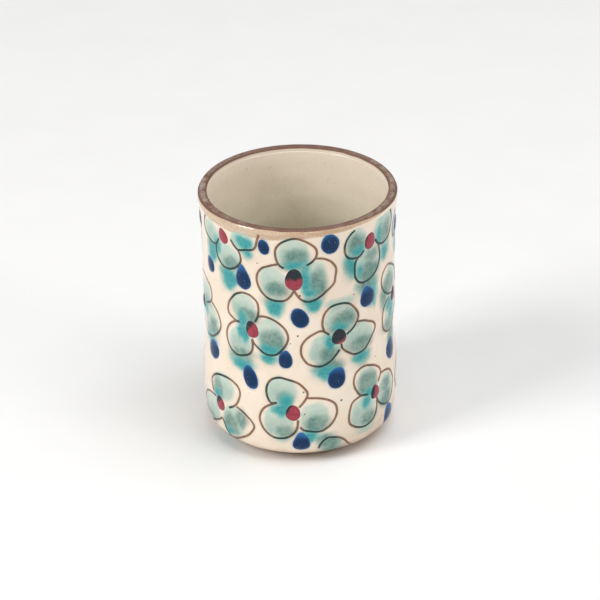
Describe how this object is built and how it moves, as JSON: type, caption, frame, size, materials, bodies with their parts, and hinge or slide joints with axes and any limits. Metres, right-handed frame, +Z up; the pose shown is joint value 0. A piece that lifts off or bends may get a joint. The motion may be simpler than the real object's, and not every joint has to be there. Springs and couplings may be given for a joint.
{
  "type": "handleless stoneware mug",
  "caption": "Straight-sided stoneware tumbler without a handle, white glaze outside, liner glaze inside, iron band on the lip, raised painted dabs on the wall.",
  "frame": {"origin": "centre of the foot ring's resting plane, on the cup's axis", "axes": "+Z up along the cup's axis towards the mouth; -Y faces the viewer; +X to the viewer's right"},
  "size_m": [0.0748, 0.0748, 0.1],
  "materials": {
    "clay": "matte bare clay",
    "white_glaze": "gloss",
    "liner_glaze": "gloss",
    "iron_wash": "dry satin",
    "cobalt": "gloss",
    "red_enamel": "gloss"
  },
  "bodies": {
    "root": {"clay_body": "clay", "outside_glaze": "white_glaze", "inside_glaze": "liner_glaze", "lip_band": "iron_wash", "red_heart_01": "red_enamel", "red_heart_02": "red_enamel", "red_heart_03": "red_enamel", "red_heart_04": "red_enamel", "red_heart_05": "red_enamel", "red_heart_06": "red_enamel", "red_heart_07": "red_enamel", "red_heart_08": "red_enamel", "red_heart_09": "red_enamel", "red_heart_10": "red_enamel", "red_heart_11": "red_enamel", "red_heart_12": "red_enamel", "red_heart_13": "red_enamel", "red_heart_14": "red_enamel", "red_heart_15": "red_enamel", "red_heart_16": "red_enamel", "red_heart_17": "red_enamel", "red_heart_18": "red_enamel", "red_heart_19": "red_enamel", "red_heart_20": "red_enamel", "red_heart_21": "red_enamel", "cobalt_dab_01": "cobalt", "cobalt_dab_02": "cobalt", "cobalt_dab_03": "cobalt", "cobalt_dab_04": "cobalt", "cobalt_dab_05": "cobalt", "cobalt_dab_06": "cobalt", "cobalt_dab_07": "cobalt", "cobalt_dab_08": "cobalt", "cobalt_dab_09": "cobalt", "cobalt_dab_10": "cobalt", "cobalt_dab_11": "cobalt", "cobalt_dab_12": "cobalt", "cobalt_dab_13": "cobalt", "cobalt_dab_14": "cobalt", "cobalt_dab_15": "cobalt", "cobalt_dab_16": "cobalt", "cobalt_dab_17": "cobalt", "cobalt_dab_18": "cobalt", "cobalt_dab_19": "cobalt", "cobalt_dab_20": "cobalt", "cobalt_dab_21": "cobalt", "cobalt_dab_22": "cobalt", "cobalt_dab_23": "cobalt", "cobalt_dab_24": "cobalt", "cobalt_dab_25": "cobalt", "cobalt_dab_26": "cobalt", "cobalt_dab_27": "cobalt", "cobalt_dab_28": "cobalt"}
  },
  "joints": []
}
